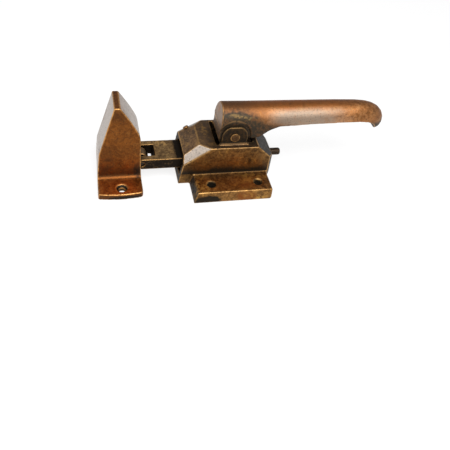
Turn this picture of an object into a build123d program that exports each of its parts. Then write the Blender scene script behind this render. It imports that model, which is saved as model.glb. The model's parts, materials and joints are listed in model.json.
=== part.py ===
from build123d import *
import math
import os

os.makedirs("parts", exist_ok=True)

# Slam latch with a pull handle, and its wedge-shaped strike. Millimetres.
# Origin: centre of the four mounting holes, on the mounting plane. +Z away from the door,
# +X from the bolt towards the free end of the handle.

# ---- case
case_w = 23.7            # half width of the body
case_h = 41.8            # height of the top face
case_foot_x = -53.4      # left end at the mounting plane
case_left_x, case_left_z = -48.4, 30.4
top_x0, top_x1 = -33.7, 24.1
case_end_x = 43.5
case_chamfer_z = 23.6    # height where the right slope meets the right end
case_front_end_x = 37.4  # right end of the side walls, before the corner facets
case_end_w = 13.0
near_facet = (-22.2, -49.6, 22.9)   # X of its top corner, X and Z of its lowest corner
far_facet = (-25.0, -48.8, 28.3)
facet_top_y = 15.2
wall = 4.8
cavity_end_z = 24.6
flange_t = 11.1
flange_w = 50.8          # half width at the top of the flange
flange_foot_w = 52.8     # half width at the mounting plane
flange_x0, flange_x1 = -38.4, 36.0
flange_bevel = 4.0
hole_x, hole_y, hole_r = 23.5, 39.2, 4.0

# ---- handle bearing
pin_z = 49.6
pin_r = 4.0
pin_bore_r = 4.06
pin_head_r = 4.7
ear_r = 12.9
ear_top = 60.9
ear_y0, ear_y1 = 14.6, 17.6
slot_x0, slot_x1 = -17.4, 19.5
slot_wide_x = -14.2      # the slot is wider to the left of this

# ---- mouth for the bolt
mouth_w, mouth_z0, mouth_z1, mouth_r = 18.4, 8.0, 28.2, 10.0
keeper_x, keeper_screw_y = -28.0, 16.9

# ---- bolt
bolt_w = 15.0
nose_w, nose_x = 13.6, -88.7   # the bolt is narrower to the left of this, to enter the strike
bolt_z0, bolt_z1 = 13.5, 25.0
bolt_tip_x, bolt_rear_x = -94.5, 12.0
fork_x, fork_w = -74.5, 8.4
fork_ramp = 2.6          # how far the end of the fork slopes
roller_x, roller_r, roller_w = -87.8, 5.6, 5.4
web_x0, web_x1, web_t = -83.0, -80.0, 1.8   # bar across the fork, below the roller
roller_pin_r = 2.5
spacer_r = 3.6
toe_r = 3.6
toe_z = 19.2
toe_w = 5.5
toe_gap = 0.5
slam_travel = 14.5
rod_r, rod_z, rod_end_x = 3.7, 16.4, 55.9
rod_neck_r = 2.4         # inside the bolt
rod_bore_r = 3.76
bush_r, bush_flange_r, bush_flange_t = 5.6, 7.4, 1.2

# ---- handle
pocket_r = 16.2
boss_w = 14.2
boss_wide = 15.75

# ---- strike
strike_x0, strike_x1 = -128.0, -88.9
strike_foot_x = -131.3   # left end at the mounting plane, in front
strike_skew_x = -129.0   # and at the back
ridge_x0, ridge_x1 = -111.9, -106.4
strike_h = 83.2
strike_left_z, strike_right_z = 33.2, 48.0
strike_w, strike_top_w = 16.4, 14.6
strike_flange_t, strike_flange_w, strike_flange_bulge = 6.4, 39.4, 2.0
strike_hole_x, strike_hole_y, strike_hole_r, sink_r = -108.6, 32.0, 2.8, 5.5
strike_cavity_w = 14.0

bolt_mid_z = (bolt_z0 + bolt_z1) / 2
toe_len = pin_z - toe_z


def unit(v):
    return v * (1 / v.length)


def facet_plane(side, inset=0.0):
    """Plane of the sloping corner facet at the bolt end, on side -1 or +1 in Y."""
    high_x, low_x, low_z = near_facet if side < 0 else far_facet
    high = Vector(high_x, side * case_w, case_h)
    low = Vector(low_x, side * case_w, low_z)
    top = Vector(top_x0, side * facet_top_y, case_h)
    normal = unit((top - high).cross(low - high))
    if normal.Z < 0:
        normal = normal * -1
    return Plane(origin=high - normal * inset, x_dir=unit(low - high), z_dir=normal)


def case_block(inset):
    """The case's outside, or its cavity when inset is the wall thickness."""
    slope_in = inset * 0.55
    with BuildPart() as block:
        with BuildSketch(Plane.XZ) as _side:
            with BuildLine():
                Polyline(
                    (case_foot_x + inset + slope_in, 0),
                    (case_left_x + inset, case_left_z - slope_in),
                    (top_x0 + slope_in, case_h - inset),
                    (top_x1 - slope_in, case_h - inset),
                    (case_end_x - inset, case_chamfer_z if inset == 0 else cavity_end_z),
                    (case_end_x - inset, 0),
                    close=True,
                )
            make_face()
        extrude(amount=case_w - inset, both=True)
        with BuildSketch(Plane.XY) as _plan:
            with BuildLine():
                Polyline(
                    (case_foot_x, -case_w + inset),
                    (case_front_end_x - slope_in, -case_w + inset),
                    (case_end_x - inset, -case_end_w + slope_in),
                    (case_end_x - inset, case_end_w - slope_in),
                    (case_front_end_x - slope_in, case_w - inset),
                    (case_foot_x, case_w - inset),
                    close=True,
                )
            make_face()
        extrude(amount=case_h, mode=Mode.INTERSECT)
        for side in (-1, 1):
            with BuildSketch(facet_plane(side, inset)):
                Rectangle(160, 160)
            extrude(amount=60, mode=Mode.SUBTRACT)
    return block.part


def ear(side):
    """One hinge ear with its foot ledge."""
    with BuildPart() as lug:
        with BuildSketch(Plane.XZ.offset(-side * ear_y0)) as ear_face:
            with Locations((0, pin_z)):
                Circle(ear_r)
            with Locations((0, (pin_z + case_h - 1) / 2)):
                Rectangle(2 * ear_r, pin_z - case_h + 1)
            with Locations((0, ear_top + 10)):
                Rectangle(60, 20, mode=Mode.SUBTRACT)
            fillet(ear_face.vertices().group_by(Axis.Y)[-1], 4.0)
        extrude(amount=-side * (ear_y1 - ear_y0))
        with Locations((0, side * (ear_y1 - 1.0), case_h + 0.1)):
            Box(2 * ear_r + 1.8, 4.0, 2.2)
    return lug.part


# ---------------------------------------------------------------- latch case
far = facet_plane(1)
n = far.z_dir
spot_x, spot_y = -40.6, 20.2
spot_z = far.origin.Z - (n.X * (spot_x - far.origin.X) + n.Y * (spot_y - far.origin.Y)) / n.Z
oil_plane = Plane(origin=(spot_x, spot_y, spot_z), x_dir=far.x_dir, z_dir=n)

with BuildPart() as flange:
    with BuildSketch(Plane.XZ):
        with BuildLine():
            Polyline(
                (flange_x0 - flange_bevel, 0),
                (flange_x1, 0),
                (flange_x1, flange_t),
                (flange_x0, flange_t),
                close=True,
            )
        make_face()
    extrude(amount=flange_foot_w, both=True)
    corners = flange.edges().filter_by(Axis.Z)
    fillet([e for e in corners if e.center().X > 0], 2.0)
    with BuildSketch(Plane.YZ.offset(-60)):
        with BuildLine():
            Polyline(
                (-flange_foot_w, 0), (flange_foot_w, 0), (flange_w, flange_t), (-flange_w, flange_t),
                close=True,
            )
        make_face()
    extrude(amount=120, mode=Mode.INTERSECT)

with BuildPart() as latch_case:
    add(case_block(0))
    add(flange.part)
    add(case_block(wall), mode=Mode.SUBTRACT)
    for side in (-1, 1):
        add(ear(side))
        # guide ribs beside the bolt, which also carry the keeper strap
        with Locations((keeper_x, side * (bolt_w + 3.2), 24.0)):
            Box(11, 6.0, 21.6)
    # slot for the handle boss
    with Locations(((slot_x0 + slot_x1) / 2, 0, case_h - wall / 2)):
        Box(slot_x1 - slot_x0, 2 * ear_y0, wall + 8, mode=Mode.SUBTRACT)
    with Locations(((slot_x0 + slot_wide_x) / 2, 1.9, case_h - wall / 2)):
        Box(slot_wide_x - slot_x0, 37.8, wall + 8, mode=Mode.SUBTRACT)
    # arched mouth round the bolt
    with BuildSketch(Plane.YZ.offset(case_foot_x - 4)) as mouth:
        with Locations((0, (mouth_z0 + mouth_z1) / 2)):
            Rectangle(2 * mouth_w, mouth_z1 - mouth_z0)
        fillet(mouth.vertices().group_by(Axis.Y)[-1], mouth_r)
    extrude(amount=14, mode=Mode.SUBTRACT)
    # mounting holes
    with Locations([(x, y, flange_t) for x in (-hole_x, hole_x) for y in (-hole_y, hole_y)]):
        CounterSinkHole(hole_r, hole_r + 0.6, depth=30, counter_sink_angle=90)
    # pivot holes
    with BuildSketch(Plane.XZ.offset(-40)):
        with Locations((0, pin_z)):
            Circle(pin_r)
    extrude(amount=80, mode=Mode.SUBTRACT)
    # rod bush hole
    with BuildSketch(Plane.YZ.offset(30)):
        with Locations((0, rod_z)):
            Circle(bush_r)
    extrude(amount=30, mode=Mode.SUBTRACT)
    # keeper screw holes
    with Locations([(keeper_x, y, 18.2) for y in (-keeper_screw_y, keeper_screw_y)]):
        Cylinder(1.2, 10, mode=Mode.SUBTRACT)
    # oil hole in the far corner facet
    with BuildSketch(oil_plane):
        Circle(2.0)
    extrude(amount=-9, mode=Mode.SUBTRACT)
latch_case.part.label = "latch_case"
export_step(latch_case.part, "parts/latch_case.step")

# ---------------------------------------------------------------- oil hole screw
with BuildPart() as oil_screw:
    with BuildSketch(oil_plane):
        Circle(2.9)
    extrude(amount=1.9)
    fillet(oil_screw.edges().group_by(Axis(oil_plane.origin, oil_plane.z_dir))[-1], 1.2)
    with BuildSketch(oil_plane):
        Circle(2.0)
    extrude(amount=-4.0)
oil_screw.part.label = "oil_screw"
export_step(oil_screw.part, "parts/oil_screw.step")

# ---------------------------------------------------------------- pivot pin
with BuildPart() as pivot_pin:
    with BuildSketch(Plane.XZ.offset(-ear_y1)):
        with Locations((0, pin_z)):
            Circle(pin_r)
    extrude(amount=2 * ear_y1)
    for side in (-1, 1):
        with BuildSketch(Plane.XZ.offset(side * ear_y1)):
            with Locations((0, pin_z)):
                Circle(pin_head_r)
        extrude(amount=side * 0.7)
pivot_pin.part.label = "pivot_pin"
export_step(pivot_pin.part, "parts/pivot_pin.step")

# ---------------------------------------------------------------- pull handle
# stations along the grip: x, z of the underside, lean of the section in degrees,
# half width, rise above the underside
grip = [
    (-14.6, 57.0, 6.0, 15.9, 20.0),
    (12.0, 56.6, 1.5, 15.9, 19.9),
    (34.0, 57.2, 0.0, 15.8, 19.1),
    (66.0, 58.8, 0.0, 14.6, 17.5),
    (104.0, 59.4, 0.5, 13.8, 16.7),
    (124.0, 59.2, 4.0, 13.4, 16.4),
    (133.0, 58.6, 11.0, 13.0, 16.2),
    (138.5, 57.7, 21.0, 12.6, 15.8),
    (142.5, 56.4, 32.0, 12.0, 15.2),
    (145.6, 54.7, 44.0, 11.2, 14.2),
    (148.0, 52.6, 56.0, 10.0, 12.7),
    (149.8, 50.2, 68.0, 8.6, 10.7),
    (151.0, 47.7, 80.0, 6.8, 8.2),
    (151.7, 45.4, 90.0, 4.4, 5.3),
]
with BuildPart() as pull_handle:
    for x, z, lean, half, rise in grip:
        a = math.radians(lean)
        with BuildSketch(
            Plane(origin=(x, 0, z), x_dir=(0, 1, 0), z_dir=(math.cos(a), 0, -math.sin(a)))
        ):
            with BuildLine():
                Line((-half, 0), (half, 0))
                EllipticalCenterArc((0, 0), half, rise, start_angle=0, arc_size=180)
            make_face()
    loft(ruled=True)
    # wide part of the boss, above the case
    with BuildSketch(Plane.XZ):
        with BuildLine():
            Polyline(
                (-14.5, 58.5), (-15.2, 47.0), (15.0, 46.4), (21.0, 46.6), (25.8, 48.2),
                (30.4, 51.2), (36.0, 54.8), (43.0, 57.6), (43.0, 60.5), (-14.2, 60.5),
                close=True,
            )
        make_face()
    extrude(amount=boss_wide, both=True)
    # pockets that clear the ears
    for side in (-1, 1):
        with BuildSketch(Plane.XZ.offset(side * boss_w)):
            with Locations((0, pin_z)):
                Circle(pocket_r)
        extrude(amount=side * 12, mode=Mode.SUBTRACT)
    # narrow part of the boss, between the ears and down into the case
    with BuildSketch(Plane.XZ):
        with BuildLine():
            Polyline(
                (-14.5, 58.5), (-15.2, 45.5), (-13.6, 41.2), (-10.8, 39.0), (-6.0, 37.8),
                (6.0, 37.8), (10.6, 40.0), (13.6, 43.4), (15.4, 46.6), (29.0, 52.4),
                (29.0, 60.0), (-14.2, 60.0),
                close=True,
            )
        make_face()
    extrude(amount=boss_w, both=True)
    # rest lug under the heel
    with Locations((21.9, 0, 46.4)):
        Box(3.2, 10, 8.4)
    # toe that draws the bolt
    with BuildSketch(Plane.XZ):
        with Locations((0, (toe_z + 40) / 2)):
            Rectangle(2 * toe_r, 40 - toe_z)
        with Locations((0, toe_z)):
            Circle(toe_r)
    extrude(amount=toe_w, both=True)
    with BuildSketch(Plane.XZ.offset(-40)):
        with Locations((0, pin_z)):
            Circle(pin_bore_r)
    extrude(amount=80, mode=Mode.SUBTRACT)
pull_handle.part.label = "pull_handle"
export_step(pull_handle.part, "parts/pull_handle.step")

# ---------------------------------------------------------------- bolt
with BuildPart() as bolt:
    with Locations(((bolt_tip_x + bolt_rear_x) / 2, 0, bolt_mid_z)):
        Box(bolt_rear_x - bolt_tip_x, 2 * bolt_w, bolt_z1 - bolt_z0)
    for side in (-1, 1):
        with Locations((nose_x - 10, side * (nose_w + 5), bolt_mid_z)):
            Box(20, 10, 30, mode=Mode.SUBTRACT)
    # fork for the roller, with a sloping end
    with BuildSketch(Plane.XZ):
        with BuildLine():
            Polyline(
                (bolt_tip_x - 10, 5), (fork_x - fork_ramp, 5), (fork_x - fork_ramp, bolt_z0),
                (fork_x, bolt_z1), (fork_x, 35), (bolt_tip_x - 10, 35),
                close=True,
            )
        make_face()
    extrude(amount=fork_w, both=True, mode=Mode.SUBTRACT)
    with Locations(((web_x0 + web_x1) / 2, 0, bolt_z0 + web_t / 2)):
        Box(web_x1 - web_x0, 2 * fork_w + 0.4, web_t)
    fillet(bolt.edges().filter_by(Axis.Y).filter_by_position(Axis.X, bolt_tip_x - 0.1, bolt_tip_x + 0.1), 3.0)
    # window for the toe, long enough for the bolt to be pushed in on its own
    toe_x1 = toe_r + toe_gap
    toe_x0 = -toe_x1 - slam_travel
    with Locations(((toe_x0 + toe_x1) / 2, 0, bolt_mid_z)):
        Box(toe_x1 - toe_x0, 2 * (toe_w + 0.5), 30, mode=Mode.SUBTRACT)
    with BuildSketch(Plane.XZ.offset(-30)):
        with Locations((roller_x, bolt_mid_z)):
            Circle(roller_pin_r)
    extrude(amount=60, mode=Mode.SUBTRACT)
    with BuildSketch(Plane.YZ.offset(toe_x1 - 1)):
        with Locations((0, rod_z)):
            Circle(rod_neck_r)
    extrude(amount=20, mode=Mode.SUBTRACT)
    with Locations((8.2, 0, bolt_mid_z)):
        Cylinder(1.2, 30, mode=Mode.SUBTRACT)
bolt.part.label = "bolt"
export_step(bolt.part, "parts/bolt.step")

# ---------------------------------------------------------------- nose roller
with BuildPart() as nose_roller:
    with BuildSketch(Plane.XZ.offset(-roller_w)):
        with Locations((roller_x, bolt_mid_z)):
            Circle(roller_r)
            Circle(roller_pin_r + 0.06, mode=Mode.SUBTRACT)
    extrude(amount=2 * roller_w)
    chamfer(nose_roller.edges().filter_by(GeomType.CIRCLE).filter_by(lambda e: e.radius > 4), 0.6)
nose_roller.part.label = "nose_roller"
export_step(nose_roller.part, "parts/nose_roller.step")

# ---------------------------------------------------------------- roller spacers
with BuildPart() as roller_spacers:
    for side in (-1, 1):
        with BuildSketch(Plane.XZ.offset(-side * (roller_w + 0.3))):
            with Locations((roller_x, bolt_mid_z)):
                Circle(spacer_r)
                Circle(roller_pin_r, mode=Mode.SUBTRACT)
        extrude(amount=-side * (fork_w - roller_w - 0.3))
roller_spacers.part.label = "roller_spacers"
export_step(roller_spacers.part, "parts/roller_spacers.step")

# ---------------------------------------------------------------- roller pin
with BuildPart() as roller_pin:
    with BuildSketch(Plane.XZ.offset(-nose_w + 0.2)):
        with Locations((roller_x, bolt_mid_z)):
            Circle(roller_pin_r)
    extrude(amount=2 * nose_w - 0.4)
roller_pin.part.label = "roller_pin"
export_step(roller_pin.part, "parts/roller_pin.step")

# ---------------------------------------------------------------- tail rod
with BuildPart() as tail_rod:
    with BuildSketch(Plane.YZ.offset(bolt_rear_x)):
        with Locations((0, rod_z)):
            Circle(rod_r)
    extrude(amount=rod_end_x - bolt_rear_x)
    fillet(tail_rod.edges().group_by(Axis.X)[-1], 1.6)
    with BuildSketch(Plane.YZ.offset(toe_x1)):
        with Locations((0, rod_z)):
            Circle(rod_neck_r)
    extrude(amount=bolt_rear_x - toe_x1)
    with Locations((8.2, 0, bolt_mid_z)):
        Cylinder(1.2, 30, mode=Mode.SUBTRACT)
tail_rod.part.label = "tail_rod"
export_step(tail_rod.part, "parts/tail_rod.step")

# ---------------------------------------------------------------- rod cross pin
with BuildPart() as rod_cross_pin:
    with Locations((8.2, 0, bolt_mid_z)):
        Cylinder(1.2, bolt_z1 - bolt_z0)
rod_cross_pin.part.label = "rod_cross_pin"
export_step(rod_cross_pin.part, "parts/rod_cross_pin.step")

# ---------------------------------------------------------------- spring collar
with BuildPart() as spring_collar:
    with BuildSketch(Plane.YZ.offset(bolt_rear_x)):
        with Locations((0, rod_z)):
            Circle(7.4)
            Circle(rod_r, mode=Mode.SUBTRACT)
    extrude(amount=1.5)
spring_collar.part.label = "spring_collar"
export_step(spring_collar.part, "parts/spring_collar.step")

# ---------------------------------------------------------------- bolt spring
spring_x0 = bolt_rear_x + 1.5
spring_x1 = case_end_x - wall - bush_flange_t
wire_r = 0.8
coil_r = 5.4
coils = 5.5
with BuildPart() as bolt_spring:
    with BuildLine() as coil:
        Helix(
            (spring_x1 - spring_x0 - 2 * wire_r) / coils,
            spring_x1 - spring_x0 - 2 * wire_r,
            coil_r,
            center=(spring_x0 + wire_r, 0, rod_z),
            direction=(1, 0, 0),
        )
    with BuildSketch(Plane(origin=coil.edges()[0] @ 0, z_dir=coil.edges()[0] % 0)):
        Circle(wire_r - 0.02)
    sweep(path=coil.edges()[0], is_frenet=True)
bolt_spring.part.label = "bolt_spring"
export_step(bolt_spring.part, "parts/bolt_spring.step")

# ---------------------------------------------------------------- rod bush
bush_x0 = case_end_x - wall
with BuildPart() as rod_bush:
    with BuildSketch(Plane.YZ.offset(bush_x0 - bush_flange_t)):
        with Locations((0, rod_z)):
            Circle(bush_flange_r)
    extrude(amount=bush_flange_t)
    with BuildSketch(Plane.YZ.offset(bush_x0)):
        with Locations((0, rod_z)):
            Circle(bush_r)
    extrude(amount=wall)
    with BuildSketch(Plane.YZ.offset(bush_x0 - 5)):
        with Locations((0, rod_z)):
            Circle(rod_bore_r)
    extrude(amount=20, mode=Mode.SUBTRACT)
rod_bush.part.label = "rod_bush"
export_step(rod_bush.part, "parts/rod_bush.step")

# ---------------------------------------------------------------- keeper strap
with BuildPart() as keeper_strap:
    with Locations((keeper_x, 0, 13.2 - 1.5)):
        Box(10.4, 37.4, 3.0)
    with Locations([(keeper_x, y, 11) for y in (-keeper_screw_y, keeper_screw_y)]):
        Cylinder(1.2, 20, mode=Mode.SUBTRACT)
keeper_strap.part.label = "keeper_strap"
export_step(keeper_strap.part, "parts/keeper_strap.step")

# ---------------------------------------------------------------- keeper screws
with BuildPart() as keeper_screws:
    for y in (-keeper_screw_y, keeper_screw_y):
        with Locations((keeper_x, y, 10.2 - 0.9)):
            Cylinder(1.9, 1.8)
        with Locations((keeper_x, y, 10.2 + 5.4)):
            Cylinder(1.2, 10.8)
        with Locations((keeper_x, y, 8.4)):
            Box(5, 0.6, 1.2, mode=Mode.SUBTRACT)
keeper_screws.part.label = "keeper_screws"
export_step(keeper_screws.part, "parts/keeper_screws.step")

# ---------------------------------------------------------------- strike
with BuildPart() as strike_flange:
    with BuildSketch(Plane.XY) as plan:
        with BuildLine():
            Line((strike_foot_x, -strike_flange_w), (strike_foot_x, strike_flange_w))
            Line((strike_x1, strike_flange_w), (strike_x1, -strike_flange_w))
            for side in (-1, 1):
                ThreePointArc(
                    (strike_foot_x, side * strike_flange_w),
                    ((strike_foot_x + strike_x1) / 2, side * (strike_flange_w + strike_flange_bulge)),
                    (strike_x1, side * strike_flange_w),
                )
        make_face()
        fillet(plan.vertices().group_by(Axis.X)[0], 2.0)
        fillet(plan.vertices().group_by(Axis.X)[-1], 3.5)
    extrude(amount=strike_flange_t)
    flare = (strike_x0 - strike_foot_x) * strike_flange_t / strike_left_z
    with BuildSketch(Plane.XZ):
        with BuildLine():
            Polyline(
                (strike_foot_x, 0), (strike_x1, 0), (strike_x1, strike_flange_t),
                (strike_foot_x + flare, strike_flange_t),
                close=True,
            )
        make_face()
    extrude(amount=60, both=True, mode=Mode.INTERSECT)

with BuildPart() as strike:
    with BuildSketch(Plane.XZ):
        with BuildLine():
            Polyline(
                (ridge_x1, strike_h), (ridge_x0, strike_h), (strike_x0, strike_left_z),
                (strike_foot_x, 0), (strike_x1, 0), (strike_x1, strike_right_z),
            )
            Spline(
                (strike_x1, strike_right_z), (strike_x1 - 1.2, 54.5), (strike_x1 - 4.8, 62.5),
                (strike_x1 - 11.0, 73.3), (ridge_x1, strike_h),
            )
        make_face()
    extrude(amount=strike_w, both=True)
    with BuildSketch(Plane.YZ.offset(strike_foot_x - 5)):
        with BuildLine():
            Polyline(
                (-strike_w, 0), (strike_w, 0), (strike_w, strike_flange_t),
                (strike_top_w, strike_h + 1), (-strike_top_w, strike_h + 1),
                (-strike_w, strike_flange_t),
                close=True,
            )
        make_face()
    extrude(amount=strike_x1 - strike_foot_x + 10, mode=Mode.INTERSECT)
    add(strike_flange.part)
    fold = strike.edges().filter_by(Axis.X).filter_by_position(
        Axis.Z, strike_flange_t - 0.1, strike_flange_t + 0.1
    )
    fillet([e for e in fold if abs(abs(e.center().Y) - strike_w) < 0.2], 4.5)
    # the left side is a little askew
    with BuildSketch(Plane.XY):
        with BuildLine():
            Polyline(
                (strike_foot_x - 5, -60), (strike_foot_x, -strike_flange_w),
                (strike_skew_x, strike_flange_w + 3), (strike_foot_x - 5, strike_flange_w + 3),
                close=True,
            )
        make_face()
    extrude(amount=strike_h, mode=Mode.SUBTRACT)
    # hollow behind the front and back walls, open below and towards the bolt
    with BuildSketch(Plane.XZ):
        with BuildLine():
            Polyline(
                (strike_foot_x + 5.0, -1), (strike_x0 + 4.5, 30), (strike_x0 + 10.0, 44),
                (strike_x1 - 8.0, 44), (strike_x1 - 4.5, 34), (strike_x1 - 4.5, 28.5),
                (strike_x1 + 2, 28.5), (strike_x1 + 2, -1),
                close=True,
            )
        make_face()
    extrude(amount=strike_cavity_w, both=True, mode=Mode.SUBTRACT)
    for y in (-strike_hole_y, strike_hole_y):
        with Locations((strike_hole_x, y, strike_flange_t)):
            CounterSinkHole(strike_hole_r, sink_r, depth=20, counter_sink_angle=82)
strike.part.label = "strike"
export_step(strike.part, "parts/strike.step")
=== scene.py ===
import json
import math

import bmesh
import bpy
import numpy as np
from mathutils import Matrix, Vector
from mathutils.bvhtree import BVHTree
from mathutils.kdtree import KDTree


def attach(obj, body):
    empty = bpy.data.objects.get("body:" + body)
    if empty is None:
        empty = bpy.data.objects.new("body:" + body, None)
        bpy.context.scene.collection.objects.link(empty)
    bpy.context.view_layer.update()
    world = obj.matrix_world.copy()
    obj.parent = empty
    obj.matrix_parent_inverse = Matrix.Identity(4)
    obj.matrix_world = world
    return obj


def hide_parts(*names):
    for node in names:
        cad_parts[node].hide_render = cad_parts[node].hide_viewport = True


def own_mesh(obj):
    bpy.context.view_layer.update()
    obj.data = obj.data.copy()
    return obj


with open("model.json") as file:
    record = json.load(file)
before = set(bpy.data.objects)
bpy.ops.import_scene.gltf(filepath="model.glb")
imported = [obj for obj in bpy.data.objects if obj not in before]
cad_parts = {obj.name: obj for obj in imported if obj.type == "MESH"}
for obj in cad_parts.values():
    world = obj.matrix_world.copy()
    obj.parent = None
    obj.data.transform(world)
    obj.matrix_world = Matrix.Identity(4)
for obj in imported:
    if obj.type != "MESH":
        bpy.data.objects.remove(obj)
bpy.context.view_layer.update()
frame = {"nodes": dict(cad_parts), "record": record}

MM = 0.001
NODES = frame["nodes"]
BODIES = frame["record"]["behaviour"]["bodies"]
NODE_BODY = {node: body for body, members in BODIES.items() for node in members}
NODE_SLOT = {part["node"]: part["material_slot"] for part in frame["record"]["subparts"]}

# places on the parts, in millimetres, as part.py has them
FLANGE_Y = 25            # the case's flanges lie outside this
FLANGE_Z = 12            # and below this
BODY_LEFT_X = -44        # the left face of the case is left of this
MOUTH_HALF_Y, MOUTH_TOP_Z = 9.8, 29
EAR_HALF_Y, EAR_FOOT_Z, EAR_Z = 19.5, 42.2, 44.5
CREASE_Z = 11.5          # where the case's wall meets its flange
PIVOT_Z = 49.6
STRIKE_FLANGE_Y = 20
FORK_X, FORK_HALF_Y, FORK_TOP_Z = -73, 9.2, 24.6

# crisp places: (centre, radius) in millimetres
CASE_HOLES = [((x, y, 8), 7.0) for x in (-23.5, 23.5) for y in (-39.2, 39.2)]
STRIKE_HOLES = [((-108.6, y, 4), 7.0) for y in (-32.0, 32.0)]
HANDLE_BORE = [((0, y, PIVOT_Z), 6.5) for y in (-12, -6, 0, 6, 12)]


# ------------------------------------------------------------------ numbers on meshes
def hash_grid(ix, iy, iz, seed):
    """A repeatable number from 0 to 1 for each corner of a grid."""
    h = (ix * 374761393 + iy * 668265263 + iz * 2147483647 + seed * 1274126177) & 0xFFFFFFFF
    h = ((h ^ (h >> 13)) * 1274126177) & 0xFFFFFFFF
    return ((h ^ (h >> 16)) & 0xFFFFFF) / float(0xFFFFFF)


def value_noise(points, size, seed=0):
    """Smooth noise from -1 to 1 at points, with features of the given size."""
    q = points / size
    base = np.floor(q).astype(np.int64)
    t = q - base
    t = t * t * (3 - 2 * t)
    total = np.zeros(len(points))
    for dx in (0, 1):
        for dy in (0, 1):
            for dz in (0, 1):
                weight = (
                    (t[:, 0] if dx else 1 - t[:, 0])
                    * (t[:, 1] if dy else 1 - t[:, 1])
                    * (t[:, 2] if dz else 1 - t[:, 2])
                )
                total += weight * hash_grid(base[:, 0] + dx, base[:, 1] + dy, base[:, 2] + dz, seed)
    return total * 2 - 1


def layered_noise(points, size, octaves=3, seed=0):
    total, gain, norm = np.zeros(len(points)), 1.0, 0.0
    for k in range(octaves):
        total += gain * value_noise(points, size / 2**k, seed + 17 * k)
        norm += gain
        gain *= 0.55
    return total / norm


def smoothstep(x, low, high):
    t = np.clip((x - low) / (high - low), 0, 1)
    return t * t * (3 - 2 * t)


class Neighbours:
    """Averages a value over the neighbours of each vertex."""

    def __init__(self, mesh):
        edges = np.zeros(len(mesh.edges) * 2, np.int64)
        mesh.edges.foreach_get("vertices", edges)
        self.a, self.b = edges[0::2], edges[1::2]
        self.count = np.bincount(edges, minlength=len(mesh.vertices)).clip(1)

    def mean(self, value):
        out = np.empty_like(value)
        n = len(self.count)
        for k in range(value.shape[1]):
            column = value[:, k]
            out[:, k] = (
                np.bincount(self.a, column[self.b], n) + np.bincount(self.b, column[self.a], n)
            ) / self.count
        return out

    def smooth(self, co, rounds, strength=0.5):
        for _ in range(rounds):
            co = co + strength * (self.mean(co) - co)
        return co


def coordinates(mesh):
    co = np.zeros(len(mesh.vertices) * 3, np.float32)
    mesh.vertices.foreach_get("co", co)
    return co.reshape(-1, 3).astype(float)


def normals(mesh):
    out = np.zeros(len(mesh.vertices) * 3, np.float32)
    mesh.vertices.foreach_get("normal", out)
    return out.reshape(-1, 3).astype(float)


def store(mesh, name, value):
    attribute = mesh.attributes.new(name, "FLOAT", "POINT")
    attribute.data.foreach_set("value", np.clip(value, -1, 1).astype(np.float32))


def patches(points, spots, seed):
    """Soft-edged patches: each spot is (centre, radii, strength), in millimetres."""
    total = np.zeros(len(points))
    warp = layered_noise(points, 9 * MM, 3, seed)
    for centre, radii, strength in spots:
        d = np.sqrt((((points / MM - np.array(centre)) / np.array(radii)) ** 2).sum(1))
        total += strength * (1 - smoothstep(d + 0.35 * warp, 0.6, 1.15))
    return total


def assembly_tree():
    """All the CAD solids at rest, for finding how enclosed a point is."""
    corners, faces = [], []
    for obj in NODES.values():
        start = len(corners)
        corners += [tuple(v.co) for v in obj.data.vertices]
        faces += [[start + i for i in polygon.vertices] for polygon in obj.data.polygons]
    return BVHTree.FromPolygons(corners, faces)


def sky_rays(count):
    """Directions spread over a half sphere, denser towards its top, which is the third axis."""
    k = np.arange(count) + 0.5
    high = np.sqrt(1 - k / count)
    low = np.sqrt(1 - high**2)
    around = math.pi * (3 - math.sqrt(5)) * k
    return np.stack([low * np.cos(around), low * np.sin(around), high], 1)


ASSEMBLY = assembly_tree()
SKY = sky_rays(10)


def enclosure(co, normal, reach=0.022):
    """From 0 in the open to 1 deep in a hole: the share of rays that meet metal within reach."""
    side = np.cross(normal, (0.36, 0.48, 0.8))
    side /= np.linalg.norm(side, axis=1)[:, None].clip(1e-6)
    other = np.cross(normal, side)
    hits = np.zeros(len(co))
    start = co + normal * 0.0004
    for a, b, c in SKY:
        rays = side * a + other * b + normal * c
        for i in range(len(co)):
            if ASSEMBLY.ray_cast(Vector(start[i]), Vector(rays[i]), reach)[0] is not None:
                hits[i] += 1
    return hits / len(SKY)


def corner_lines(node, least_angle):
    """Points along the CAD node's outer corners, for finding the nearest one."""
    shape = bmesh.new()
    shape.from_mesh(NODES[node].data)
    bmesh.ops.remove_doubles(shape, verts=shape.verts, dist=1e-6)
    points = []
    for edge in shape.edges:
        if len(edge.link_faces) == 2 and edge.calc_face_angle_signed(0) > math.radians(least_angle):
            a, b = (v.co for v in edge.verts)
            steps = max(1, int((b - a).length / (0.4 * MM)))
            points += [a.lerp(b, k / steps) for k in range(steps + 1)]
    shape.free()
    tree = KDTree(len(points))
    for k, point in enumerate(points):
        tree.insert(point, k)
    tree.balance()
    return tree


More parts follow.
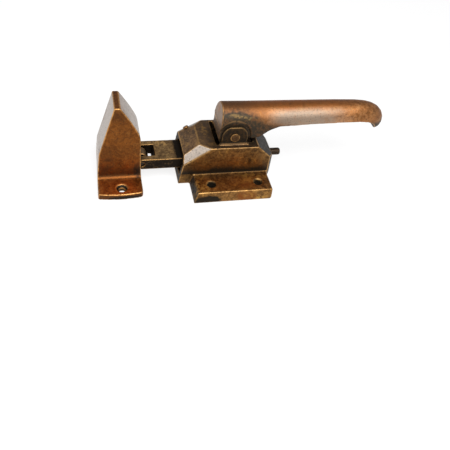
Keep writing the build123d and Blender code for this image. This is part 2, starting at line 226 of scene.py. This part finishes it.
def cast_skin(node, voxel, rounds, waviness=0.06, paint=None, seed=1, sharp=25, keep=(), melt=None):
    """A dense, softened copy of a CAD node, with the marks that its material reads: edge near its
    outer corners, cave where it is enclosed (painted shade in hollows), and the listed shade
    (painted shade and light, with stains), warm, brass and grey (painted reflection).
    keep is a list of (centre, radius) in millimetres where small shapes stay crisp, and melt gives
    how far each point is smoothed away."""
    source = NODES[node]
    piece = bpy.data.objects.new(node + "_cast", source.data.copy())
    bpy.context.scene.collection.objects.link(piece)
    remesh = piece.modifiers.new("remesh", "REMESH")
    remesh.mode = "VOXEL"
    remesh.voxel_size = voxel * MM
    remesh.adaptivity = 0.0
    bpy.context.view_layer.update()
    dense = bpy.data.meshes.new_from_object(
        piece.evaluated_get(bpy.context.evaluated_depsgraph_get())
    )
    piece.modifiers.clear()
    piece.data = dense
    dense.name = piece.name
    near = Neighbours(dense)
    rest = coordinates(dense)
    soft = near.smooth(rest, rounds)
    hold = np.zeros(len(rest))
    for centre, radius in keep:
        d = np.linalg.norm(rest / MM - np.array(centre), axis=1)
        hold = np.maximum(hold, 0.8 * (1 - smoothstep(d, radius, radius + 2.0)))
    crisp = near.smooth(rest, 2)
    co = soft + (crisp - soft) * hold[:, None]
    if melt:
        blend = melt(co)[:, None]
        co = co + (near.smooth(co, 30) - co) * blend
    dense.vertices.foreach_set("co", co.astype(np.float32).ravel())
    dense.update()
    normal = normals(dense)
    lines = corner_lines(node, sharp)
    far = np.array([lines.find(Vector(c))[2] for c in co]) / MM
    ragged = layered_noise(co, 4 * MM, 3, seed + 5)
    edge = 1 - smoothstep(far + 0.4 * ragged, 0.55, 1.15)
    edge *= 0.6 + 0.4 * smoothstep(layered_noise(co, 13 * MM, 2, seed + 7), -0.3, 0.3)
    # how enclosed each point is; the material paints shade into hollows from this cave mark
    cave = near.smooth(enclosure(co, normal)[:, None], 5)[:, 0]
    # the slow waviness of a casting, and its corners worn back a little
    wave = layered_noise(co, 14 * MM, 2, seed) * waviness - waviness
    wave -= 0.12 * edge * smoothstep(value_noise(co, 5 * MM, seed + 9), 0.2, 0.9)
    co = co + normal * (wave * MM * (1 - hold))[:, None]
    dense.vertices.foreach_set("co", co.astype(np.float32).ravel())
    dense.polygons.foreach_set("use_smooth", np.ones(len(dense.polygons), bool))
    dense.update()
    marks = paint(co, normal, seed) if paint else {}
    edge *= (1 - smoothstep(cave, 0.45, 0.8)) * marks.get("worn", 0.8)
    store(dense, "edge", edge)
    store(dense, "cave", smoothstep(cave, 0.12, 0.85))
    for name in ("shade", "warm", "brass", "grey_reflection"):
        store(dense, name, marks.get(name, np.zeros(len(co))))
    return finish_piece(piece, node)


def finish_piece(piece, *nodes):
    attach(piece, NODE_BODY[nodes[0]])
    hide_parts(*nodes)
    return piece


def squeezed_spring():
    """The return spring: a smooth-shaded copy of its CAD mesh, attached to the spring's body."""
    piece = bpy.data.objects.new("bolt_spring_coil", NODES["bolt_spring"].data.copy())
    bpy.context.scene.collection.objects.link(piece)
    piece.data.polygons.foreach_set("use_smooth", np.ones(len(piece.data.polygons), bool))
    finish_piece(piece, "bolt_spring")
    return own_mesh(piece)


# ------------------------------------------------------------------ materials
class Graph:
    """Short names for the shader nodes that the metals share."""

    def __init__(self, name):
        self.material = bpy.data.materials.new(name)
        self.material.use_nodes = True
        self.tree = self.material.node_tree
        self.tree.nodes.clear()
        self.where = self.tree.nodes.new("ShaderNodeTexCoord").outputs["Object"]

    def node(self, kind, **settings):
        n = self.tree.nodes.new(kind)
        for key, value in settings.items():
            setattr(n, key, value)
        return n

    def link(self, a, b):
        self.tree.links.new(a, b)

    def value(self, socket, x):
        if isinstance(x, bpy.types.NodeSocket):
            self.link(x, socket)
        else:
            socket.default_value = x

    def math(self, operation, a, b=0.0, clamp=False):
        n = self.node("ShaderNodeMath", operation=operation, use_clamp=clamp)
        self.value(n.inputs[0], a)
        self.value(n.inputs[1], b)
        return n.outputs[0]

    def ramp(self, x, low, high, to_low=0.0, to_high=1.0):
        n = self.node("ShaderNodeMapRange", interpolation_type="SMOOTHSTEP")
        for socket, v in zip(n.inputs, (x, low, high, to_low, to_high)):
            self.value(socket, v)
        return n.outputs[0]

    def stretched(self, scale, turn=(0, 0, 0)):
        n = self.node("ShaderNodeMapping")
        self.link(self.where, n.inputs["Vector"])
        n.inputs["Scale"].default_value = scale
        n.inputs["Rotation"].default_value = turn
        return n.outputs[0]

    def noise(self, size, detail=4.0, rough=0.55, warp=0.0, vector=None):
        n = self.node("ShaderNodeTexNoise")
        self.link(vector or self.where, n.inputs["Vector"])
        n.inputs["Scale"].default_value = 1 / (size * MM)
        n.inputs["Detail"].default_value = detail
        n.inputs["Roughness"].default_value = rough
        n.inputs["Distortion"].default_value = warp
        return n.outputs["Fac"]

    def cells(self, size):
        n = self.node("ShaderNodeTexVoronoi", feature="F1")
        self.link(self.where, n.inputs["Vector"])
        n.inputs["Scale"].default_value = 1 / (size * MM)
        return n

    def mix(self, factor, a, b, blend="MIX"):
        n = self.node("ShaderNodeMix", data_type="RGBA", blend_type=blend)
        self.value(n.inputs["Factor"], factor)
        for socket, colour in ((n.inputs[6], a), (n.inputs[7], b)):
            if isinstance(colour, tuple):
                socket.default_value = (*colour, 1.0)
            else:
                self.link(colour, socket)
        return n.outputs[2]

    def attribute(self, name):
        return self.node("ShaderNodeAttribute", attribute_name=name).outputs["Fac"]


def bronze(
    name,
    base,
    light,
    dark,
    edge=(0.50, 0.27, 0.09),
    warm=(0.13, 0.035, 0.012),
    brass=(0.42, 0.26, 0.09),
    # grey_reflection: the colour of the painted reflection on slopes, facets and end faces
    grey_reflection=(0.33, 0.28, 0.23),
    # shade_and_soot: the dark colour of stains, specks and pits, and of the painted shade in
    # hollows and shaded places
    shade_and_soot=(0.018, 0.015, 0.012),
    roughness=0.40,
    coat=0.03,
    stains=0.35,
    marks=True,
):
    """Old patinated bronze: blotches, mottling, stains, grit, specks, pits and scratches. Bright
    edges come where the mesh carries the edge mark; painted shade in hollows, painted shade and
    light, and a painted grey reflection come from its cave, shade and grey marks."""
    g = Graph(name)
    blotch = g.noise(17, 5.0, 0.6, 0.8)
    mottle = g.noise(3.0, 6.0, 0.62, 0.3)
    fine = g.noise(0.55, 3.0, 0.6)
    colour = g.mix(g.ramp(blotch, 0.34, 0.58, 0.35, 1.0), dark, base)
    colour = g.mix(g.ramp(blotch, 0.52, 0.74, 0.0, 0.7), colour, light)
    colour = g.mix(g.ramp(mottle, 0.44, 0.64, 0.0, 0.5), colour, light)
    colour = g.mix(g.ramp(mottle, 0.48, 0.33, 0.0, 0.6), colour, dark)
    stain = g.noise(6.5, 6.0, 0.68, 1.0)
    colour = g.mix(g.ramp(stain, 0.46, 0.38, 0.0, stains), colour, shade_and_soot)
    colour = g.mix(g.ramp(stain, 0.56, 0.63, 0.0, stains), colour, brass)
    grit = g.noise(1.3, 3.0, 0.6)
    colour = g.mix(g.ramp(grit, 0.56, 0.68, 0.0, 0.5), colour, light)
    specks = g.ramp(fine, 0.62, 0.72)
    colour = g.mix(g.math("MULTIPLY", specks, 0.5), colour, shade_and_soot)
    gritty = g.ramp(grit, 0.46, 0.34)
    colour = g.mix(g.math("MULTIPLY", gritty, 0.5), colour, shade_and_soot)
    pit_cells = g.cells(5.5)
    pits = g.math(
        "MULTIPLY",
        g.ramp(pit_cells.outputs["Distance"], 0.085, 0.04),
        g.ramp(pit_cells.outputs["Color"], 0.62, 0.66),
    )
    scratch_a = g.noise(1.0, 2.0, 0.5, 0.0, g.stretched((0.05, 1.0, 1.0), (0.2, 0.5, 0.35)))
    scratch_b = g.noise(1.0, 2.0, 0.5, 0.0, g.stretched((0.06, 1.0, 1.0), (0.9, -0.4, -0.8)))
    scratches = g.math(
        "MULTIPLY",
        g.math("ADD", g.ramp(scratch_a, 0.69, 0.74), g.ramp(scratch_b, 0.7, 0.75), clamp=True),
        g.ramp(g.noise(9, 3.0), 0.46, 0.6),
    )
    colour = g.mix(g.math("MULTIPLY", scratches, 0.45), colour, brass)
    if marks:
        breakup = g.ramp(mottle, 0.3, 0.62, 0.35, 1.0)
        colour = g.mix(g.math("MULTIPLY", g.attribute("warm"), breakup, True), colour, warm)
        # grey_reflection mark: a painted grey reflection of the pale floor and the softboxes,
        # speckled with dark grit
        speckled = g.mix(g.math("MULTIPLY", gritty, 0.45), grey_reflection, shade_and_soot)
        speckled = g.mix(g.ramp(mottle, 0.5, 0.36, 0.0, 0.22), speckled, base)
        colour = g.mix(g.math("MULTIPLY", g.attribute("grey_reflection"), 0.95, True), colour, speckled)
        # shade mark: positive values paint shade towards the dark colour, together with the stains
        # in it; negative values paint light by adding the colour to itself
        shade = g.attribute("shade")
        painted_shade_and_stain = g.math("MAXIMUM", shade, 0.0)
        shade_dark = g.math("MULTIPLY", painted_shade_and_stain, g.math("ADD", breakup, painted_shade_and_stain), True)
        painted_light = g.math("MAXIMUM", g.math("MULTIPLY", shade, -1.0), 0.0)
        colour = g.mix(painted_light, colour, colour, "ADD")
        colour = g.mix(shade_dark, colour, shade_and_soot)
        brassy = g.math("MULTIPLY", g.attribute("brass"), g.ramp(mottle, 0.42, 0.6), True)
        colour = g.mix(brassy, colour, brass)
        # cave mark: painted shade in hollows, holes and slots, with the grime that gathers there
        deep = g.math("POWER", g.attribute("cave"), 1.3)
        colour = g.mix(g.math("MULTIPLY", deep, 0.97), colour, shade_and_soot)
        worn = g.math("MULTIPLY", g.attribute("edge"), g.ramp(mottle, 0.3, 0.56, 0.25, 1.0))
        colour = g.mix(worn, colour, edge)
    colour = g.mix(pits, colour, shade_and_soot)
    rough = g.ramp(mottle, 0.3, 0.7, roughness - 0.06, roughness + 0.1)
    rough = g.math("ADD", rough, g.math("MULTIPLY", pits, 0.3), True)
    if marks:
        rough = g.math("ADD", rough, g.math("MULTIPLY", shade_dark, 0.18), True)
        rough = g.math("ADD", rough, g.math("MULTIPLY", deep, 0.35), True)
        rough = g.math("SUBTRACT", rough, g.math("MULTIPLY", g.attribute("edge"), 0.08), True)
    height = g.math("ADD", g.math("MULTIPLY", mottle, 0.5), g.math("MULTIPLY", fine, 0.28))
    height = g.math("SUBTRACT", height, g.math("MULTIPLY", pits, 1.6))
    height = g.math("SUBTRACT", height, g.math("MULTIPLY", scratches, 0.25))
    bump = g.node("ShaderNodeBump")
    bump.inputs["Strength"].default_value = 0.55
    bump.inputs["Distance"].default_value = 0.16 * MM
    g.link(height, bump.inputs["Height"])
    shader = g.node("ShaderNodeBsdfPrincipled")
    shader.inputs["Metallic"].default_value = 1.0
    shader.inputs["Coat Weight"].default_value = coat
    shader.inputs["Coat Roughness"].default_value = 0.34
    g.link(colour, shader.inputs["Base Color"])
    g.link(rough, shader.inputs["Roughness"])
    g.link(bump.outputs[0], shader.inputs["Normal"])
    out = g.node("ShaderNodeOutputMaterial")
    g.link(shader.outputs[0], out.inputs["Surface"])
    return g.material


def dress(piece, material):
    piece.data.materials.clear()
    piece.data.materials.append(material)


# ------------------------------------------------------------------ marks placed one by one
def from_holes(x, y, holes):
    """How far each point is from the nearest hole's axis, in millimetres."""
    return np.min([np.hypot(x - centre[0], y - centre[1]) for centre, _ in holes], axis=0)


def paint_case(co, normal, seed):
    x, y, z = (co / MM).T
    body = smoothstep(np.abs(y), 26, 24.5)
    front = smoothstep(np.abs(normal[:, 1]), 0.6, 0.95)
    up = smoothstep(normal[:, 2], 0.9, 0.985)
    slope = smoothstep(-0.61 * normal[:, 0] + 0.79 * normal[:, 2], 0.96, 0.995) * (x < -30)
    facet = smoothstep(
        -0.47 * normal[:, 0] + 0.63 * np.abs(normal[:, 1]) + 0.62 * normal[:, 2], 0.93, 0.98
    ) * (x < -15) * (z > 20)
    end = smoothstep(normal[:, 0], 0.25, 0.6) * body
    left = smoothstep(-normal[:, 0], 0.7, 0.95)
    roof = body * (z > 30) * smoothstep(normal[:, 2], 0.6, 0.8)
    wall_side = front * body * (z > CREASE_Z)
    outside = (np.abs(y) > FLANGE_Y) * (z < FLANGE_Z)
    hole = from_holes(x, y, CASE_HOLES)
    cloud = layered_noise(co, 16 * MM, 3, seed + 2)
    wall_low = 0.62 * smoothstep(z + 3 * cloud, 24, 12)
    wall_high = 0.15 * smoothstep(z + 4 * cloud, 25, 36)
    shade = wall_side * (wall_low + 0.12 - wall_high)
    shade += 0.1 * roof
    # up-facing tops from x -34 onwards are painted darker in patches (painted shade)
    shade += 0.35 * up * (z > 38) * smoothstep(cloud, -0.3, 0.3) * smoothstep(x, -34, -18)
    # the slope facing the left softbox is painted lighter (painted light)
    shade -= 0.6 * slope * smoothstep(cloud, -0.6, 0.1)
    shade += patches(
        co,
        [
            ((-30, -53, 1.5), (15, 8, 6.5), 2.4),
            ((-37, -44, 5), (4, 14, 9), 0.5),
            ((-33, -37, 11), (6, 6, 3), 0.5),
            ((-16, -37, 11), (12, 5, 3), 0.35),
            ((30, -37, 11), (10, 4, 3), 0.4),
        ],
        seed,
    )
    # painted shade on the left face, stronger towards the front
    shade += 0.9 * smoothstep(x, -44.5, -47.5) * left * smoothstep(y, 16, 8)
    # painted shade inside the mouth round the bolt
    shade += 1.2 * (x > -50.5) * (x < -30) * (np.abs(y) < MOUTH_HALF_Y) * (z < MOUTH_TOP_Z)
    # painted shade on right-facing faces below z 41; everything above z 43.5, the ears, is darker
    # too
    shade += 0.7 * end * (z < 41) + 0.66 * (z > 43.5)
    # painted shade over the highlight on the fillet at the foot of the ears
    ear_foot = (np.abs(y) < EAR_HALF_Y) * (z > EAR_FOOT_Z) * (z < EAR_Z)
    shade += 0.5 * ear_foot
    # painted light on the flange tops and fronts
    shade -= 0.75 * outside * up + 0.55 * outside * front
    # painted shade on the flanges' left-facing ends
    shade += 0.6 * outside * left
    # painted shade inside the bolt holes
    shade += 1.5 * outside * smoothstep(hole, 4.7, 4.4)
    warm = patches(
        co,
        [((9, -51.5, 5), (11, 5, 7), 1.0), ((12, -44, 11), (14, 5, 3), 0.5)],
        seed + 1,
    )
    warm += 0.3 * wall_side * smoothstep(z, 26, 16) + 0.25 * outside * up
    brass = 0.75 * outside * smoothstep(cloud, -0.1, 0.25)
    # the same slope is painted brassier, partly as painted light
    brass += 0.35 * slope * smoothstep(cloud, 0.1, 0.4)
    brass += patches(
        co,
        [((-26, 6, 41.8), (4, 11, 3), 0.35), ((-20, -16, 41.8), (9, 2.5, 2), 0.4)],
        seed + 4,
    )
    left_face = left * body * (x < BODY_LEFT_X)
    # painted grey reflection on the left facet, the flange ends, the far part of the left face and
    # the roof
    grey_reflection = 0.9 * facet + 0.5 * outside * left
    grey_reflection += 0.25 * left_face * smoothstep(y, 8, 16)
    grey_reflection += 0.14 * roof
    # more painted shade over the whole left face
    shade += 0.75 * left_face
    worn = 0.85 - 0.8 * ear_foot - 0.45 * (z > EAR_Z)
    worn -= 0.45 * outside * (0.4 + 0.6 * smoothstep(cloud, 0.2, -0.2))
    worn -= 0.3 * outside * (hole < 4.7)
    worn -= 0.45 * (x > -18) * (np.abs(y) > 21) * (z > 38) * (z < 43)
    return {"shade": shade, "warm": warm, "brass": brass, "grey_reflection": grey_reflection, "worn": worn}


def paint_handle(co, normal, seed):
    x, y, z = (co / MM).T
    end = smoothstep(-normal[:, 0], 0.85, 0.97) * (x < -8)
    ragged = layered_noise(co, 8 * MM, 3, seed + 1)
    boss_top = np.interp(x, [-15, 0, 12, 30, 48, 62], [70, 68.5, 67, 63.5, 60, 56])
    boss = 1 - smoothstep(z + 3.0 * ragged, boss_top - 4.0, boss_top + 4.5)
    crown = smoothstep(normal[:, 2] + 0.2 * ragged, 0.72, 0.97) * smoothstep(z, 66, 71)
    flank = smoothstep(normal[:, 2], 0.85, 0.45) * (1 - boss)
    shade = 0.64 * boss * (1 - end) + 0.46 * smoothstep(x + 8 * ragged, 38, 4) * flank * (1 - end)
    # painted shade on downward-facing surfaces
    shade += 0.3 * smoothstep(-normal[:, 2], 0.3, 0.9) * (1 - boss)
    shade += 0.48 * smoothstep(x + 8 * ragged, 40, 2) * (1 - end) * (1 - boss)
    shade += 0.35 * end * smoothstep(z, 64, 56)
    # painted light on the middle of the flanks
    shade -= 0.3 * flank * smoothstep(x, 40, 70) * smoothstep(x, 135, 105)
    warm = 0.85 * crown * smoothstep(x + 12 * ragged, 140, 95)
    warm += 0.7 * smoothstep(x + 6 * ragged, 44, 8) * (1 - crown) * (z > 66) * (1 - end)
    brass = patches(
        co,
        [
            ((-2, -12, 70.4), (6, 5, 1.6), 0.4),
            ((6, -12.5, 69.2), (6, 5, 1.5), 0.42),
            ((14, -13, 67.6), (5, 5, 1.5), 0.4),
        ],
        seed,
    )
    # painted grey reflection on the left end face and on the sides of the middle
    grey_reflection = 0.75 * end * (1 - 0.6 * patches(co, [((-15, 4, 70), (3, 5, 7), 1.0)], seed + 2))
    middle = smoothstep(x, 24, 48) * smoothstep(x + 14 * ragged, 124, 80)
    grey_reflection += 0.95 * smoothstep(normal[:, 2], 0.93, 0.6) * middle * (1 - boss)
    seam = (x > 8) * (z < 63) * (np.abs(y) > 12)
    worn = 0.9 * (1 - seam * smoothstep(x, 62, 42))
    worn *= 1 - 0.65 * (np.abs(y) > 12) * smoothstep(np.hypot(x, z - PIVOT_Z), 19.5, 18)
    return {"shade": shade, "warm": warm, "brass": brass, "grey_reflection": grey_reflection, "worn": worn}


def paint_strike(co, normal, seed):
    x, y, z = (co / MM).T
    front = smoothstep(np.abs(normal[:, 1]), 0.6, 0.95)
    side = smoothstep(np.abs(normal[:, 0]), 0.6, 0.9)
    cloud = layered_noise(co, 12 * MM, 3, seed + 2)
    shade = 0.36 * front * smoothstep(z + 3 * cloud, 24, 13) + 0.3 * front * smoothstep(z, 64, 78)
    flange = np.abs(y) > STRIKE_FLANGE_Y
    # painted light on the up-facing flange tops
    shade -= 0.95 * smoothstep(normal[:, 2], 0.7, 0.95) * flange
    shade += patches(
        co,
        [
            ((-121, -16, 35), (7, 8, 9), 0.2),
            ((-121, -17, 22), (9, 8, 8), 0.25),
            ((-92, -17, 15), (5, 8, 10), 0.25),
            ((-93, -27, 6), (5, 10, 3), 0.35),
            ((-104, -42, 1.5), (22, 4, 2.5), 0.5),
        ],
        seed,
    )
    # painted shade round and inside the countersunk holes
    shade += 0.9 * flange * smoothstep(from_holes(x, y, STRIKE_HOLES), 5.6, 4.6)
    warm = 0.15 * smoothstep(z, 22, 8) * (np.abs(y) > 14)
    # painted grey reflection on the sides facing left and right
    grey_reflection = 0.9 * side * (z > 6) * (1 - 0.25 * smoothstep(cloud, 0.1, 0.5))
    return {"shade": shade, "warm": warm, "grey_reflection": grey_reflection, "worn": 1.0}


def paint_bolt(co, normal, seed):
    x, y, z = (co / MM).T
    up = smoothstep(normal[:, 2], 0.8, 0.98) * (z > 24)
    front = smoothstep(np.abs(normal[:, 1]), 0.6, 0.95)
    inside = (np.abs(y) < FORK_HALF_Y) * (x < FORK_X) * (z < FORK_TOP_Z)
    # the side faces are darker; painted shade where the bolt runs into the case and inside the fork
    # slot
    shade = 0.7 * front + smoothstep(x, -59, -51) + inside
    scuffs = smoothstep(layered_noise(co, 9 * MM, 4, seed + 3), -0.1, 0.3)
    brass = 0.9 * up * (x < -60) * scuffs
    return {"shade": shade, "brass": brass, "worn": 0.65 - 0.3 * front}


def paint_darker(co, normal, seed):
    # darker all over, with a little noise
    return {"shade": 0.45 + 0.2 * layered_noise(co, 5 * MM, 2, seed)}


# ------------------------------------------------------------------ the pieces
fine = 1.0

case_metal = bronze(
    "case_bronze", (0.13, 0.060, 0.016), (0.27, 0.14, 0.044), (0.055, 0.028, 0.011),
    warm=(0.13, 0.040, 0.009), grey_reflection=(0.29, 0.255, 0.22), edge=(0.58, 0.33, 0.12),
    brass=(0.46, 0.25, 0.06), stains=0.34, shade_and_soot=(0.024, 0.018, 0.012),
)
handle_metal = bronze(
    "handle_bronze", (0.31, 0.122, 0.035), (0.44, 0.21, 0.085), (0.18, 0.068, 0.018),
    warm=(0.29, 0.092, 0.020), grey_reflection=(0.24, 0.188, 0.142), edge=(0.50, 0.27, 0.10),
    shade_and_soot=(0.048, 0.036, 0.023), roughness=0.45, coat=0.12, stains=0.22,
)
strike_metal = bronze(
    "strike_bronze", (0.18, 0.058, 0.011), (0.27, 0.095, 0.019), (0.10, 0.034, 0.009),
    warm=(0.17, 0.05, 0.012), edge=(0.66, 0.34, 0.11), grey_reflection=(0.52, 0.48, 0.44),
    brass=(0.36, 0.17, 0.045), stains=0.2,
)
bolt_metal = bronze(
    "bolt_bronze", (0.30, 0.175, 0.070), (0.46, 0.29, 0.12), (0.14, 0.08, 0.034),
    brass=(0.60, 0.36, 0.13), shade_and_soot=(0.016, 0.011, 0.007),
)
pin_metal = bronze(
    "pin_bronze", (0.09, 0.045, 0.018), (0.15, 0.08, 0.035), (0.045, 0.025, 0.012),
)
roller_metal = bronze(
    "roller_bronze", (0.26, 0.16, 0.08), (0.42, 0.28, 0.15), (0.12, 0.07, 0.035),
)
rod_metal = bronze(
    "rod_bronze", (0.07, 0.04, 0.02), (0.14, 0.08, 0.04), (0.03, 0.02, 0.012),
)
screw_metal = bronze(
    "screw_bronze", (0.26, 0.13, 0.05), (0.38, 0.2, 0.085), (0.11, 0.05, 0.02),
)
# for the CAD nodes that keep their own mesh, by material slot
plain = {
    "pin_steel": bronze(
        "pin_steel", (0.07, 0.052, 0.036), (0.14, 0.11, 0.08), (0.035, 0.028, 0.022),
        brass=(0.35, 0.34, 0.32), marks=False,
    ),
    "spring_steel": bronze(
        "spring_steel", (0.10, 0.095, 0.09), (0.18, 0.175, 0.17), (0.05, 0.045, 0.045),
        brass=(0.3, 0.29, 0.28), marks=False,
    ),
    "strap_steel": bronze(
        "strap_steel", (0.14, 0.135, 0.13), (0.25, 0.24, 0.23), (0.07, 0.06, 0.055),
        brass=(0.32, 0.31, 0.3), marks=False, roughness=0.45,
    ),
    "rod_bronze": bronze(
        "rod_bronze_plain", (0.12, 0.07, 0.03), (0.22, 0.13, 0.06), (0.05, 0.03, 0.015),
        marks=False,
    ),
    "roller_bronze": bronze(
        "spacer_bronze", (0.2, 0.12, 0.06), (0.3, 0.2, 0.1), (0.1, 0.06, 0.03), marks=False,
    ),
}


def boss_seam(co):
    """Where the grip runs into the boss, clear of the pockets round the ears."""
    x, y, z = (co / MM).T
    clear = smoothstep(np.hypot(x, z - PIVOT_Z), 17.0, 18.5)
    clear *= smoothstep(x, 6, 12) * smoothstep(x, 60, 50)
    return clear * smoothstep(z, 50.5, 53.5) * smoothstep(z, 66, 62)


case = cast_skin("latch_case", 0.62 * fine, 6, 0.07, paint_case, 3, keep=CASE_HOLES)
dress(case, case_metal)
handle = cast_skin(
    "pull_handle", 0.6 * fine, 8, 0.05, paint_handle, 11, sharp=30, keep=HANDLE_BORE, melt=boss_seam
)
dress(handle, handle_metal)
strike = cast_skin("strike", 0.55 * fine, 6, 0.06, paint_strike, 23, keep=STRIKE_HOLES)
dress(strike, strike_metal)
dress(cast_skin("bolt", 0.45 * fine, 4, 0.03, paint_bolt, 31), bolt_metal)
dress(cast_skin("pivot_pin", 0.3 * fine, 6, 0.02, seed=41), pin_metal)
dress(cast_skin("nose_roller", 0.3 * fine, 4, 0.02, seed=43), roller_metal)
dress(cast_skin("tail_rod", 0.3 * fine, 4, 0.02, paint_darker, 47), rod_metal)
dress(cast_skin("oil_screw", 0.2 * fine, 4, 0.02, seed=53), screw_metal)
dress(squeezed_spring(), plain["spring_steel"])
for node, obj in NODES.items():
    if not obj.hide_render:
        dress(obj, plain[NODE_SLOT[node]])

# ------------------------------------------------------------------ floor, light, camera
FLOOR_GLOW, FLOOR_GREY, FLOOR_HALF = 0.80, 0.20, 4
FLOOR_DROP = 0.5 * MM
WORLD_GREY = (0.46, 0.46, 0.47, 1)
AIM = (0.01, 0.0, 0.04)
low, high = -FLOOR_HALF, FLOOR_HALF
floor_corners = [(low, low, 0), (high, low, 0), (high, high, 0), (low, high, 0)]
floor_mesh = bpy.data.meshes.new("floor")
floor_mesh.from_pydata(floor_corners, [], [(0, 1, 2, 3)])
floor = bpy.data.objects.new("floor", floor_mesh)
bpy.context.scene.collection.objects.link(floor)
floor.location.z = -FLOOR_DROP
paper = bpy.data.materials.new("paper")
paper.use_nodes = True
paper_shader = paper.node_tree.nodes["Principled BSDF"]
paper_shader.inputs["Base Color"].default_value = (FLOOR_GREY, FLOOR_GREY, FLOOR_GREY, 1)
paper_shader.inputs["Roughness"].default_value = 1.0
paper_shader.inputs["Specular IOR Level"].default_value = 0.0
paper_shader.inputs["Emission Color"].default_value = (1, 1, 1, 1)
paper_shader.inputs["Emission Strength"].default_value = FLOOR_GLOW
dress(floor, paper)

world = bpy.data.worlds.new("studio")
world.use_nodes = True
world.node_tree.nodes["Background"].inputs["Color"].default_value = WORLD_GREY
world.node_tree.nodes["Background"].inputs["Strength"].default_value = 1.0
bpy.context.scene.world = world


def softbox(name, azimuth, elevation, distance, size, power):
    """A square softbox aimed at the object. Azimuth 0 is in front (-Y), 90 on the right (+X)."""
    a, e = math.radians(azimuth), math.radians(elevation)
    direction = np.array([math.sin(a) * math.cos(e), -math.cos(a) * math.cos(e), math.sin(e)])
    light = bpy.data.lights.new(name, "AREA")
    light.shape = "SQUARE"
    light.size = size
    light.energy = power
    lamp = bpy.data.objects.new(name, light)
    bpy.context.scene.collection.objects.link(lamp)
    lamp.location = np.array(AIM) + direction * distance
    z = direction
    x = np.cross((0, 0, 1), z)
    x /= np.linalg.norm(x)
    y = np.cross(z, x)
    lamp.rotation_euler = Matrix((x, y, z)).transposed().to_euler()


softbox("key", 12, 52, 1.1, 0.95, 16)
softbox("left", -68, 38, 1.1, 0.5, 3.5)

CAMERA_PLACE = (-0.1295, -0.40934, 0.35614)
CAMERA_TURN, CAMERA_DIP, CAMERA_ROLL = 18.86, 45.98, 9.41
LENS, SENSOR = 42.55, 36
turn, dip, roll = (math.radians(v) for v in (CAMERA_TURN, CAMERA_DIP, CAMERA_ROLL))
ahead = np.array(
    [math.cos(dip) * math.sin(turn), math.cos(dip) * math.cos(turn), -math.sin(dip)]
)
right = np.array([math.cos(turn), -math.sin(turn), 0.0])
up = np.cross(right, ahead)
side = math.cos(roll) * right + math.sin(roll) * up
top = -math.sin(roll) * right + math.cos(roll) * up
camera_data = bpy.data.cameras.new("camera")
camera_data.lens = LENS
camera_data.sensor_width = SENSOR
camera_data.clip_start = 0.01
camera = bpy.data.objects.new("camera", camera_data)
bpy.context.scene.collection.objects.link(camera)
axes = Matrix((side, top, -ahead)).transposed().to_4x4()
camera.matrix_world = Matrix.Translation(CAMERA_PLACE) @ axes
bpy.context.scene.camera = camera
bpy.context.scene.view_settings.view_transform = "Standard"
